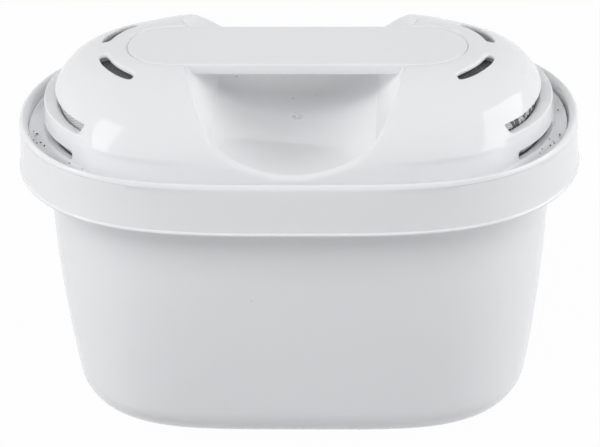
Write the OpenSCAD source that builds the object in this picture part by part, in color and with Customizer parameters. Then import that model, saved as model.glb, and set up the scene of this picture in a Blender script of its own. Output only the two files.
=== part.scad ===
// Water pitcher filter cartridge: an oval cup with a downturned collar, closed by a domed cover.
// X runs along the length, Y across it and Z up. The origin is the middle of the base.

/* [Collar and rim] */
// Overall length, over the collar
length = 105; // [92:1:120]
// Overall depth, over the collar
depth = 66; // [58:1:74]
// How square the ends of the outline are, where 2 is an ellipse
squareness = 3.4; // [2.6:0.1:4.2]
// Height of the rim above the base
rim_h = 58.8; // [50:0.2:68]
// Height of the collar, from its lower edge to the rim
collar_h = 10.2; // [8:0.1:14]
// Thickness of the collar skirt
collar_t = 1.5; // [1.2:0.1:1.8]
// Thickness of the rim beside the trough
rim_t = 2; // [1.8:0.1:2.6]
// Radius of the rim's outer top edge
rim_r = 1.1; // [0.6:0.1:1.5]

/* [Cup] */
// Distance from the collar's face in to the body, at the top
body_inset = 5.5; // [5:0.1:6]
// How far the body leans in from the collar down to the base
body_lean = 5.8; // [3:0.1:7]
// Curve of that lean, where 1 is straight and more leans mostly near the base
lean_curve = 1.9; // [1:0.1:2.4]
// How square the ends are at the base
base_squareness = 4.4; // [3:0.1:5]
// Radius of the edge between wall and base
base_r = 7; // [5:0.2:10]
// Wall thickness
wall = 1.5; // [1.2:0.1:1.8]
// Depth of the shallow hollow under the base
hollow_h = 1.2; // [0.8:0.1:1.6]
// Width of the flat foot around that hollow
foot_w = 2; // [1.5:0.5:4]

/* [Outlet] */
// Bore of the socket that fits over the valve pin of the pitcher
socket_d = 9; // [7:0.5:11]
// Depth of the socket bore
socket_h = 8; // [6:0.5:11]
// Number of outlet slots around the socket
outlet_n = 12; // [8:1:14]
// Width of an outlet slot
outlet_w = 1.2; // [0.8:0.1:1.6]
// Length of an outlet slot
outlet_l = 3.6; // [2.5:0.1:4]

/* [Cover] */
// How far the cover rises above the rim
dome_rise = 13.4; // [12:0.2:16]
// Depth of the trough between rim and cover
trough_h = 2.4; // [2:0.1:3]
// Width of the trough
trough_w = 2.9; // [2.4:0.1:3.4]
// Height of the upright band at the foot of the dome
band_h = 4.1; // [3.4:0.1:4.6]
// Height of the leaning edge on top of the band
edge_h = 2.2; // [1.6:0.1:2.6]
// How far that edge leans in
edge_lean = 0.2; // [0:0.1:0.4]
// How far the dome stands back from the band at its ends
end_step = 1.4; // [1:0.1:1.8]
// How far the dome stands back from the band at its sides
side_step = 0.1; // [0:0.1:0.5]
// How square the ends of the dome are
dome_squareness = 4; // [3:0.1:4.4]
// Length of the flat on top
flat_l = 63.8; // [58:0.2:68]
// Width of the flat on top, and of the handle bar
flat_w = 17.8; // [14:0.2:20]
// Fullness of the dome, where 2 is a quarter ellipse
fullness = 2.05; // [1.7:0.05:2.4]
// Height of the spigot that centres the cover in the cup
spigot_h = 3; // [2:0.5:5]
// Thickness of that spigot
spigot_t = 1.2; // [0.8:0.1:1.5]

/* [Handle tunnel] */
// Thickness of the handle bar
bar_t = 1.8; // [1.6:0.1:2.6]
// Depth of the tunnel floor below the flat, at the middle
tunnel_h = 13.2; // [11.6:0.1:13.6]
// Radius of the tunnel floor
tunnel_r = 23; // [21:0.5:26]
// Half width of the curved floor
floor_w = 15; // [13:0.1:16]
// Half width of the tunnel at the top
mouth_w = 20.2; // [18:0.1:21.5]

/* [Inlet slots] */
// Distance of the upper slots' outer edge from the flat's round end
upper_out = 5.6; // [4.6:0.1:6.4]
// Greatest width of the crescent that the upper slots form
upper_w = 2.2; // [1.6:0.1:2.6]
// How far the centre of the crescent's inner edge lies nearer the middle
upper_shift = 4; // [3:0.1:5]
// Width of the bridge between the two upper slots of an end
upper_bridge = 5; // [3:0.5:7]
// Height of the middle slots above the band's edge
middle_h = 1.5; // [1:0.1:2]
// Reach of the middle slots to either side of the long axis
middle_reach = 18.3; // [14:0.1:19]
// Height of the foot slots in the band
foot_h = 1.8; // [1.2:0.1:2.2]
// Height of the sill below the foot slots
foot_sill = 0.6; // [0.3:0.1:1]
// Width of the bridge between the two foot slots of an end
foot_bridge = 7; // [5:0.5:12]
// Reach of the foot slots to either side of the long axis
foot_reach = 17.7; // [13:0.1:18]

/* [Screens and media] */
// Thickness of the woven screens
screen_t = 0.6; // [0.4:0.1:0.8]
// Distance by which the outlet screen reaches past its slots
screen_edge = 1.2; // [0.6:0.1:1.4]
// Clearance between pieces that lie against each other
clear = 0.2; // [0.15:0.05:0.3]

/* [Hidden] */
a = length / 2;
b = depth / 2;
outline_n = 60;
curve_n = 6;
top_z = rim_h + dome_rise;
ledge_z = rim_h - trough_h;
seat_z = ledge_z - wall;
web_z = seat_z - wall;
collar_z = rim_h - collar_h;
band_inset = rim_t + trough_w;
band_z = ledge_z + band_h;
edge_z = band_z + edge_h;
dome_z = band_z - 0.6;
floor_z = top_z - tunnel_h;
crease_z = floor_z + tunnel_r - sqrt(tunnel_r * tunnel_r - floor_w * floor_w);
body_low = body_inset + body_lean;
base_z = hollow_h + wall;
spigot_inset = body_inset + wall + 2 * clear;
spigot_in = spigot_inset + spigot_t;
media_z = seat_z - spigot_h - clear;
outlet_r = socket_d / 2 + wall + 0.6;
screen_r = outlet_r + outlet_l + screen_edge;
flat_end_x = (flat_l - flat_w) / 2;
white = "whitesmoke";

// Oval with half length p, half depth q and squareness n, at angle t: |x/p|^n + |y/q|^2 = 1
function oval_at(p, q, n, t) = [p * sign(cos(t)) * pow(abs(cos(t)), 2 / n), q * sin(t)];
function outline(p, q, n) = [for (i = [0 : outline_n - 1]) oval_at(p, q, n, 360 * i / outline_n)];

// The same oval, drawn in from the collar's face
function oval(inset, n = squareness) = outline(a - inset, b - inset, n);

// Outline of the flat on top, a stadium, whose round ends take the turn up to the angle end_t
end_t = 34;
function stadium_at(grow, t) =
    let (r = flat_w / 2 + grow,
         u = t > 180 ? 360 - t : t, v = u > 90 ? 180 - u : u,
         turn = 90 * min(v / end_t, 1), run = v > end_t ? (90 - v) / (90 - end_t) : 1,
         x = flat_end_x * run + r * cos(turn), y = r * sin(turn))
    [u > 90 ? -x : x, t > 180 ? -y : y];

// Closed skin through rings of points that all have outline_n corners
function ring(points, z) = [for (p = points) [p[0], p[1], z]];
module skin(rings) {
    n = outline_n;
    last = len(rings) - 1;
    polyhedron(
        points = [for (r = rings) for (p = r) p],
        faces = concat(
            [[for (i = [0 : n - 1]) i]],
            [for (k = [0 : last - 1]) for (i = [0 : n - 1])
                [k * n + i, k * n + n + i, k * n + n + (i + 1) % n, k * n + (i + 1) % n]],
            [[for (i = [n - 1 : -1 : 0]) last * n + i]]));
}

// Upright wall or plate that follows the oval
module oval_wall(outer, inner, z0, z1)
    translate([0, 0, z0]) linear_extrude(z1 - z0) difference() {
        polygon(oval(outer));
        polygon(oval(inner));
    }
module oval_plate(inset, z0, z1)
    translate([0, 0, z0]) linear_extrude(z1 - z0) polygon(oval(inset));

// Body of the cup, made smaller all over by the given amount, as a skin from the base up to z1
function body_inset_at(z) = body_inset + body_lean * pow((web_z - z) / web_z, lean_curve);
function body_squareness(z) = base_squareness + (squareness - base_squareness) * z / web_z;
module body_shape(less, z0, z1) {
    r = base_r - less;
    edge = [for (i = [0 : curve_n])
        let (t = 90 * i / curve_n, z = z0 + r * (1 - cos(t)))
        ring(oval(body_inset_at(z) + less + r * (1 - sin(t)), body_squareness(z)), z)];
    side = [for (i = [1 : curve_n])
        let (z = z0 + r + (z1 - z0 - r) * i / curve_n, zb = min(z, web_z))
        ring(oval(body_inset_at(zb) + less, body_squareness(zb)), z)];
    skin(concat(edge, side));
}

// Rim and collar: an upright face with a rounded top edge
module collar_shape()
    skin(concat(
        [ring(oval(0), collar_z)],
        [for (i = [0 : curve_n - 1])
            let (t = 90 * i / (curve_n - 1))
            ring(oval(rim_r * (1 - cos(t))), rim_h - rim_r * (1 - sin(t)))]));

// Band at the foot of the dome: upright, then leaning in to its edge
module band_shape()
    skin([ring(oval(band_inset), seat_z), ring(oval(band_inset), band_z),
        ring(oval(band_inset + edge_lean), edge_z)]);

// Dome: rings that pass from its foot to the flat's outline along a curve of the given fullness
module dome_shape(less, steps = 12) {
    rise = top_z - less - dome_z;
    p = a - band_inset - end_step - less;
    q = b - band_inset - side_step - less;
    skin([for (i = [0 : steps])
        let (t = 90 * i / steps, w = pow(cos(t), 2 / fullness), h = pow(sin(t), 2 / fullness))
        ring([for (k = [0 : outline_n - 1])
            let (s = 360 * k / outline_n)
            oval_at(p, q, dome_squareness, s) * w + stadium_at(-less, s) * (1 - w)],
            dome_z + rise * h)]);
}

// Space inside dome and band, made smaller all over by the given amount
module dome_inside(less, z0, steps = 12) {
    dome_shape(less, steps);
    oval_plate(band_inset + less, z0, edge_z - less);
}

// Section of the tunnel, made larger all round by the given amount, open above the flat
function tunnel_section(grow) =
    let (r = tunnel_r + grow, t = asin(floor_w / tunnel_r), zc = floor_z + tunnel_r,
         dx = mouth_w - floor_w, dz = top_z - crease_z, l = sqrt(dx * dx + dz * dz),
         mouth = mouth_w + grow * l / dz)
    concat(
        [[mouth + dx, top_z + dz], [-mouth - dx, top_z + dz], [-mouth, top_z]],
        [for (i = [-curve_n : curve_n]) [r * sin(t * i / curve_n), zc - r * cos(t * i / curve_n)]],
        [[mouth, top_z]]);
module tunnel_shape(grow)
    rotate([90, 0, 0]) linear_extrude(depth, center = true) polygon(tunnel_section(grow));

// Handle bar: the part of the flat that bridges the tunnel
module bar_shape()
    translate([0, 0, top_z - bar_t]) linear_extrude(bar_t)
        polygon([for (i = [0 : outline_n - 1]) stadium_at(0, 360 * i / outline_n)]);

// Upper slots of one end: a crescent around the flat, cut straight down and bridged in the middle
module upper_slots() {
    outer = flat_w / 2 + upper_out;
    inner = outer - upper_w + upper_shift;
    translate([flat_end_x, 0, edge_z]) linear_extrude(dome_rise) difference() {
        circle(r = outer, $fn = 48);
        translate([-upper_shift, 0]) circle(r = inner, $fn = 48);
        translate([0, -upper_bridge / 2]) square([a, upper_bridge]);
        translate([-a, -b]) square([a, depth]);
    }
}
module end_block(y0, y1, z0, z1)
    translate([flat_end_x, y0, z0]) cube([a, y1 - y0, z1 - z0]);
module end_slots() {
    upper_slots();
    end_block(-middle_reach, middle_reach, edge_z, edge_z + middle_h);
    for (side = [-1, 1]) scale([1, side, 1])
        end_block(foot_bridge / 2, foot_reach, ledge_z + foot_sill, ledge_z + foot_sill + foot_h);
}

module cup() color(white) {
    difference() {
        union() {
            difference() {
                collar_shape();
                oval_wall(collar_t, body_inset, collar_z - 1, web_z);
                oval_plate(body_inset - 0.01, collar_z - 1, web_z);
                oval_plate(rim_t, seat_z, rim_h + 1);
            }
            body_shape(0, 0, web_z + 0.01);
        }
        body_shape(wall, base_z, seat_z + 1);
        translate([0, 0, base_z]) cylinder(r = screen_r + clear, h = screen_t + clear, $fn = 48);
        oval_plate(body_low + base_r + foot_w, -1, hollow_h);
        cylinder(d = socket_d, h = base_z + 1, $fn = 48);
        outlet_slots();
    }
    outlet_socket();
}

module outlet_slots()
    for (i = [0 : outlet_n - 1]) rotate(360 * (i + 0.5) / outlet_n)
        translate([outlet_r, -outlet_w / 2, 0])
            cube([outlet_l, outlet_w, base_z + 1]);

// Blind socket that stands up inside the cup, open to the hollow under the base
module outlet_socket()
    difference() {
        translate([0, 0, hollow_h]) cylinder(d = socket_d + 2 * wall, h = socket_h + wall, $fn = 48);
        translate([0, 0, hollow_h - 1]) cylinder(d = socket_d, h = socket_h + 1, $fn = 48);
    }

module cover() color(white)
    difference() {
        union() {
            difference() {
                union() {
                    dome_shape(0);
                    band_shape();
                }
                difference() {
                    dome_inside(wall, seat_z - 1);
                    tunnel_shape(wall);
                }
            }
            oval_wall(rim_t + clear, spigot_in, seat_z, ledge_z);
            oval_wall(spigot_inset, spigot_in, seat_z - spigot_h, seat_z + 0.01);
        }
        difference() {
            tunnel_shape(0);
            bar_shape();
        }
        end_slots();
        mirror([1, 0, 0]) end_slots();
    }

// Woven screen that lines one end of the dome behind its slots and stands on the ledge
module inlet_screen() color("silver")
    intersection() {
        difference() {
            dome_inside(wall + clear, ledge_z, 4);
            dome_inside(wall + clear + screen_t, ledge_z - 1, 4);
        }
        translate([mouth_w + 2 * wall, -b, 0]) cube([a, depth, top_z]);
    }
module inlet_screen_left() mirror([1, 0, 0]) inlet_screen();
module inlet_screen_right() inlet_screen();

module outlet_screen() color("gray")
    translate([0, 0, base_z]) difference() {
        cylinder(r = screen_r, h = screen_t, $fn = 48);
        translate([0, 0, -1]) cylinder(d = socket_d + 2 * (wall + clear), h = screen_t + 2, $fn = 48);
    }

module media_bed() color("dimgray")
    difference() {
        body_shape(wall + clear, base_z + screen_t, media_z);
        cylinder(d = socket_d + 2 * (wall + clear), h = hollow_h + socket_h + wall + clear, $fn = 48);
    }

cup();
cover();
inlet_screen_left();
inlet_screen_right();
outlet_screen();
media_bed();
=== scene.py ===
import math

import bmesh
import bpy
import numpy as np
from mathutils import Matrix, Vector


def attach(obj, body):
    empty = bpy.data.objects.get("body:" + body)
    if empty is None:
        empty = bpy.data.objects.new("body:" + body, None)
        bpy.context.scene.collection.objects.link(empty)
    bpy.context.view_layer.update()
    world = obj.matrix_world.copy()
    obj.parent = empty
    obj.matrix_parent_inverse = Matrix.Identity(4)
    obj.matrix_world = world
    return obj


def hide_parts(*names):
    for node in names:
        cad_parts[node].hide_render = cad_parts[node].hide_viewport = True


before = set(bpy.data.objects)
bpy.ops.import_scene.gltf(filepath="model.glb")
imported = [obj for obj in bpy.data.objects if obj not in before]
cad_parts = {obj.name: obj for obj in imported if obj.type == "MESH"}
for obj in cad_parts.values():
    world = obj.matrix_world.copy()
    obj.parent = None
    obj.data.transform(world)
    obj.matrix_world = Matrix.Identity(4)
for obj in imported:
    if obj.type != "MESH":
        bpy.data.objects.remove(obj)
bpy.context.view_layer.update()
print("frame loaded:", ", ".join(sorted(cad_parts)))

# Shapes are worked out in millimetres about the middle of the base, and written to the meshes in metres.
mm = 0.001


# Mesh object from points in millimetres and faces of point numbers, smooth shaded.
def makeObject(name, points, faces):
    mesh = bpy.data.meshes.new(name)
    mesh.from_pydata((np.asarray(points, float) * mm).tolist(), [], faces)
    mesh.polygons.foreach_set("use_smooth", np.ones(len(mesh.polygons), bool))
    mesh.update()
    obj = bpy.data.objects.new(name, mesh)
    bpy.context.scene.collection.objects.link(obj)
    return obj


# Faces of a grid of rows by columns: each face joins a point, the one a row on, and their neighbours in the
# next column. Columns close on themselves when wrap is set, and rows when wrapRows is set.
def gridFaces(rows, columns, wrap=True, wrapRows=False):
    r = np.arange(rows if wrapRows else rows - 1)[:, None]
    c = np.arange(columns if wrap else columns - 1)[None, :]
    below, beside = (r + 1) % rows, (c + 1) % columns
    quads = [r * columns + c, below * columns + c, below * columns + beside, r * columns + beside]
    return np.stack([np.broadcast_to(q, (len(r), c.shape[1])) for q in quads], -1).reshape(-1, 4).tolist()


# Merges points that lie together, drops faces that have lost their area, and leaves the faces' directions alone.
def weld(obj, distance=0.002):
    bm = bmesh.new()
    bm.from_mesh(obj.data)
    bmesh.ops.remove_doubles(bm, verts=bm.verts, dist=distance * mm)
    bmesh.ops.dissolve_degenerate(bm, edges=bm.edges, dist=0.0005 * mm)
    bm.to_mesh(obj.data)
    bm.free()
    obj.data.update()
    return obj


# Turns the faces of a closed shell outwards.
def faceOutwards(obj):
    bm = bmesh.new()
    bm.from_mesh(obj.data)
    bmesh.ops.recalc_face_normals(bm, faces=bm.faces)
    bm.to_mesh(obj.data)
    bm.free()
    return obj


# Takes cutters away from obj, or adds them, and leaves the finished mesh on it without a modifier.
def carve(obj, cutters, operation="DIFFERENCE"):
    for cutter in cutters:
        step = obj.modifiers.new("carve", "BOOLEAN")
        step.operation, step.solver, step.object = operation, "MANIFOLD", cutter
    bpy.context.view_layer.update()
    made = bpy.data.meshes.new_from_object(obj.evaluated_get(bpy.context.evaluated_depsgraph_get()))
    obj.modifiers.clear()
    obj.data = made
    for cutter in cutters:
        bpy.data.objects.remove(cutter)
    return obj


# Shades an object smooth, with a crease where faces meet at more than the angle in degrees.
def shadeByAngle(obj, angle):
    obj.data.polygons.foreach_set("use_smooth", np.ones(len(obj.data.polygons), bool))
    obj.data.set_sharp_from_angle(angle=math.radians(angle))


# Creases the edges that lie in the two planes at the given distance from the middle of the length.
def creaseAcross(obj, distance):
    points = np.array([v.co for v in obj.data.vertices]) / mm
    ends = np.array([e.vertices for e in obj.data.edges])
    near = np.abs(np.abs(points[:, 0]) - distance - 0.4 * cover["rearWider"] * np.clip((points[:, 1] - 8.5) / 3, 0, 1))
    there = (near < 0.004) & (points[:, 2] > 64.3) & (points[:, 2] < 64.8)
    for edge in np.nonzero(there[ends].all(axis=1))[0]:
        obj.data.edges[edge].use_edge_sharp = True


# Angles over a quarter turn, close together at both ends, where ovals curve most in one measure or the other.
quarter = np.unique(np.concatenate([
    np.linspace(0, np.pi / 2, 900), np.arccos(np.linspace(0, 1, 900) ** 2), np.linspace(0, 0.2, 300)]))


# Quarter of the oval |x/p|^n + |y/q|^2 = 1, from its tip on x to its side on y.
def ovalQuarter(p, q, n, t=quarter):
    return p * np.clip(np.cos(t), 0, 1) ** (2 / n), q * np.sin(t)


# Four quarters of columns put in order round the whole outline, anticlockwise from the front middle. The quarter
# runs from the middle of the long side to the tip, along the last but one axis.
def wholeTurn(q):
    flip = lambda a, sx, sy: a * np.array([sx, sy, 1.0])
    back = q[:, ::-1]
    return np.concatenate([flip(q, 1, -1), back[:, 1:], flip(q, -1, 1)[:, 1:], flip(back, -1, -1)[:, 1:-1]], 1)


# Cup: one closed profile carried round the oval. Each row of the profile is an inset from the collar's face, a
# height and a squareness, and the rows in the middle of the base pass over into circles round the outlet socket.
cup = dict(halfLength=52.5, halfDepth=33.0, squareness=3.4, top=58.8, lower=48.6, bead=0.25, edge=1.05, innerEdge=0.9,
           rimWall=2.0, rimSquarer=0.75, skirt=1.5, inset=5.5, lean=5.8, curve=1.9, baseSquareness=4.4, baseEdge=7.0, wall=1.5,
           web=53.4, seat=54.9, hollow=1.2, foot=2.0, floor=2.7, bore=4.5, boreWall=1.5, boreTop=9.2,
           slots=12, slotFrom=6.6, slotLong=3.6, slotWide=1.2, columns=96)


# Inset of the body at a height: straight under the collar, and leaning in more and more towards the base.
def bodyInset(z):
    return cup["inset"] + cup["lean"] * (np.clip(cup["web"] - z, 0, None) / cup["web"]) ** cup["curve"]


# Squareness of the rim's outlines: its inner wall is squarer than its face, so the rim thins at the corners.
def rimSquareness(inset):
    return cup["squareness"] + cup["rimSquarer"] * np.clip(np.minimum(inset / 2, (4 - inset) / 2), 0, 1)


def makeCup():
    c = cup
    t = quarter
    x, y = ovalQuarter(c["halfLength"], c["halfDepth"], c["squareness"])
    along = np.concatenate([[0], np.cumsum(np.hypot(np.diff(x), np.diff(y)))])
    even = np.interp(np.linspace(along[-1], 0, c["columns"] + 1), along, t)  # evenly spaced along the outline
    even[0], even[-1] = np.pi / 2, 0
    round_ = np.linspace(np.pi / 2, 0, c["columns"] + 1)
    square = lambda z: c["baseSquareness"] + (c["squareness"] - c["baseSquareness"]) * np.clip(z / c["web"], 0, 1)
    rows = []  # inset, height, squareness, circle radius, share of the circle
    oval = lambda inset, z, n=c["squareness"]: rows.append((inset, z, n, 0.0, 0.0))
    circle = lambda radius, z, share=1.0: rows.append((30.0, z, 4.0, radius, share))
    bend = np.linspace(0, np.pi / 2, 7)
    bottomInset = bodyInset(0) + c["baseEdge"]
    hollowInset = bottomInset + c["foot"]

    # underside, from the middle of the socket's ceiling out to the foot
    for radius in (0.0, 1.5, 3.2):
        circle(radius, c["boreTop"])
    for a in bend[::2]:
        circle(c["bore"] - 0.6 * (1 - np.sin(a)), c["boreTop"] - 0.6 * (1 - np.cos(a)))
    for z in (7.0, 5.0, 3.0, 1.8):
        circle(c["bore"], z)
    for a in bend[::2]:
        circle(c["bore"] + 0.3 * (1 - np.cos(a)), c["hollow"] + 0.3 * (1 - np.sin(a)))
    for radius, share in ((5.3, 1), (6.2, 1), (7.4, 1), (9.0, 1), (10.6, 1), (12.4, 0.8), (13.0, 0.4)):
        rows.append((hollowInset + 1.8 * share, c["hollow"], c["baseSquareness"], radius, share))
    for a in bend[::2]:
        oval(hollowInset + 0.5 * (1 - np.sin(a)), c["hollow"] * (1 - 0.4 * (1 - np.cos(a))), c["baseSquareness"])
    for a in bend[::2]:
        oval(hollowInset - 0.4 * np.sin(a), 0.4 * (1 - np.sin(a)) * 1.0, c["baseSquareness"])
    oval(bottomInset + 0.6, 0.0, c["baseSquareness"])

    # rounded base edge, and the body up to the web under the collar
    for a in np.linspace(0, np.pi / 2, 22):
        z = c["baseEdge"] * (1 - np.cos(a))
        oval(bodyInset(z) + c["baseEdge"] * (1 - np.sin(a)), z, square(z))
    for z in np.linspace(c["baseEdge"], c["web"] - 0.8, 24)[1:]:
        oval(bodyInset(z), z, square(z))
    for a in bend[1:]:
        oval(c["inset"] - 0.8 * (1 - np.cos(a)), c["web"] - 0.8 * (1 - np.sin(a)))
    for a in bend:
        oval(c["skirt"] + 0.8 * (1 - np.sin(a)), c["web"] - 0.8 * (1 - np.cos(a)))

    # collar: inner face, rounded lower edge, outer face, rim edge and top
    for z in (51.6, 50.4, 49.4):
        oval(c["skirt"], z)
    half = c["skirt"] / 2
    for a in np.linspace(0, np.pi, 13):
        oval(half + half * np.cos(a), c["lower"] + 0.45 - 0.45 * np.sin(a))
    oval(0.0, c["lower"] + 0.6)
    for z in np.linspace(c["lower"] + 0.86, c["top"] - c["edge"], 9):
        oval(c["bead"], z)
    rim = lambda inset, z: oval(inset, z, rimSquareness(inset))
    for a in np.linspace(0, np.pi / 2, 10)[1:]:
        rim(c["bead"] + (c["edge"] - c["bead"]) * (1 - np.cos(a)), c["top"] - c["edge"] * (1 - np.sin(a)))
    for a in bend:
        rim(c["rimWall"] - c["innerEdge"] * (1 - np.sin(a)), c["top"] - c["innerEdge"] * (1 - np.cos(a)))
    for z in (57.5, 57.0, 56.4, c["seat"]):
        rim(c["rimWall"], z)

    # seat, inner wall, floor and the outside of the socket
    oval(c["inset"] + c["wall"], c["seat"])
    for z in np.linspace(c["seat"] - 0.6, c["baseEdge"] + 1.0, 12):
        oval(bodyInset(z) + c["wall"], z, square(z))
    for a in np.linspace(np.pi / 2, 0, 9)[1:]:
        r = c["baseEdge"] - c["wall"]
        z = c["floor"] + r * (1 - np.cos(a))
        oval(bodyInset(z) + c["wall"] + r * (1 - np.sin(a)), z, square(z))
    for radius, share in ((13.0, 0.4), (12.0, 0.8), (11.6, 1), (10.6, 1), (9.0, 1), (7.4, 1)):
        rows.append((hollowInset + 1.8 * share, c["floor"], c["baseSquareness"], radius, share))
    for z in (c["floor"], 5.0, 7.5, c["boreTop"] + c["boreWall"]):
        circle(c["bore"] + c["boreWall"], z)
    for radius in (4.0, 2.0, 0.0):
        circle(radius, c["boreTop"] + c["boreWall"])

    inset, z, n, radius, share = (np.array(v, float)[:, None] for v in zip(*rows))
    ox = (c["halfLength"] - inset) * np.clip(np.cos(even), 0, 1) ** (2 / n)
    oy = (c["halfDepth"] - inset) * np.sin(even)
    px = ox * (1 - share) + radius * np.cos(round_) * share
    py = oy * (1 - share) + radius * np.sin(round_) * share
    grid = wholeTurn(np.stack([px, py, np.broadcast_to(z, px.shape)], -1))
    faces = gridFaces(len(rows), grid.shape[1])
    obj = faceOutwards(weld(makeObject("cup_shell", grid.reshape(-1, 3), faces)))
    return carve(obj, [outletCutter()])


# Outlet slots: flat bars with round ends in a ring about the socket, all in one mesh.
def outletCutter():
    c = cup
    a = np.linspace(0, 2 * np.pi, 24, endpoint=False)
    half = c["slotLong"] / 2 - c["slotWide"] / 2
    ex = np.where(np.cos(a) >= 0, half, -half) + np.cos(a) * c["slotWide"] / 2 + c["slotFrom"] + c["slotLong"] / 2
    ey = np.sin(a) * c["slotWide"] / 2
    turn = 2 * np.pi * (np.arange(c["slots"]) + 0.5) / c["slots"]
    x = ex[None] * np.cos(turn)[:, None] - ey[None] * np.sin(turn)[:, None]
    y = ex[None] * np.sin(turn)[:, None] + ey[None] * np.cos(turn)[:, None]
    points, faces = [], []
    for k in range(c["slots"]):
        start = len(points) * 24
        points += [np.stack([x[k], y[k], np.full(24, z)], -1) for z in (4.0, -1.0)]
        faces += [[start + v for v in f] for f in gridFaces(2, 24)]
        faces += [[start + v for v in range(24)], [start + 24 + v for v in range(23, -1, -1)]]
    return makeObject("outletCutter", np.concatenate(points), faces)


# Cover: a single closed skin. The outside is the band, the leaning edge and the dome, whose rings pass from an oval
# to the flat's outline; the tunnel's section cuts it, and the two meet in a rounded lip.
cover = dict(halfLength=46.2, halfDepth=28.0, squareness=4.0, foot=59.9, top=72.2, fullness=2.05, flatEnd=23.0,
             flatHalf=8.9, turn=math.radians(34), ledge=56.4, band=60.5, edge=62.7, bandInset=4.9, edgeLean=0.2,
             edgeRound=0.32, fillet=0.5, wall=1.5, floor=59.0, radius=23.0, floorHalf=15.0, mouth=20.2, lip=1.05,
             flatSink=0.5, cove=1.25, coveTop=64.6, rearWider=2.0, flangeUnder=54.9, spigotInner=8.6, spigotOuter=7.4, spigotLow=51.9, endGap=0.34)
middleX = np.concatenate([np.linspace(0, 15, 39), np.linspace(15, 20.2, 22)[1:], np.linspace(20.2, 21.5, 6)[1:]])
endShare = np.linspace(0, 1, 67)[1:]


# Quarter of the flat's outline: straight along the bar, and a half circle at its end.
def stadiumQuarter(grow, t=quarter):
    turn = np.pi / 2 * np.minimum(t / cover["turn"], 1)
    run = np.where(t > cover["turn"], (np.pi / 2 - t) / (np.pi / 2 - cover["turn"]), 1.0)
    r = cover["flatHalf"] + grow
    return cover["flatEnd"] * run + r * np.cos(turn), r * np.sin(turn)


# Columns of a quarter outline: at set distances along x beside the middle, and then evenly spaced round the end.
def columnsOf(x, y, startX=None):
    back = slice(None, None, -1)
    middle = middleX if startX is None else np.array([startX])
    my = np.interp(middle, x[back], y[back])
    along = np.concatenate([[0], np.cumsum(np.hypot(np.diff(x), np.diff(y)))])
    start = np.interp(-middle[-1], -x, along)
    at = start * (1 - endShare)
    return np.concatenate([middle, np.interp(at, along, x)]), np.concatenate([my, np.interp(at, along, y)])


# Ring of the dome at angle tau: the oval times cos(tau)^(2/fullness) and the flat's outline times the rest.
def domeRing(tau, less, startX=None):
    w = np.cos(tau) ** (2 / cover["fullness"])
    ox, oy = ovalQuarter(cover["halfLength"] - less, cover["halfDepth"] - less, cover["squareness"])
    sx, sy = stadiumQuarter(-less)
    return np.stack(columnsOf(ox * w + sx * (1 - w), oy * w + sy * (1 - w), startX), -1)


def domeHeight(tau, less):
    return cover["foot"] + (cover["top"] - less - cover["foot"]) * np.sin(tau) ** (2 / cover["fullness"])


def domeAngle(z, less):
    share = np.clip((z - cover["foot"]) / (cover["top"] - less - cover["foot"]), 0, 1)
    return np.arcsin(share ** (cover["fullness"] / 2))


def bandRing(inset, startX=None):
    n = rimSquareness(inset) if inset < 4 else cup["squareness"]
    return np.stack(columnsOf(*ovalQuarter(cup["halfLength"] - inset, cup["halfDepth"] - inset, n), startX), -1)


# Height of the tunnel at a distance from the middle: an arc for the floor, a straight wall up to the mouth.
def tunnelHeight(x, less):
    c = cover
    r, centre = c["radius"] + less, c["floor"] + c["radius"]
    crease = c["floor"] + c["radius"] - math.sqrt(c["radius"] ** 2 - c["floorHalf"] ** 2)
    slope = (c["top"] - crease) / (c["mouth"] - c["floorHalf"])
    mouth = c["mouth"] + less * math.hypot(1, 1 / slope)
    arc = centre - np.sqrt(np.clip(r ** 2 - x ** 2, 0, None))
    wall = c["top"] - slope * (mouth - x)
    low = np.maximum(arc, wall) if less else np.where(x <= c["floorHalf"], arc, wall)
    top, soft = c["top"] - less, 0.7
    gap = np.clip(soft - np.abs(top - low), 0, None)
    return np.minimum(low, top) - gap ** 2 / (4 * soft)


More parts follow.
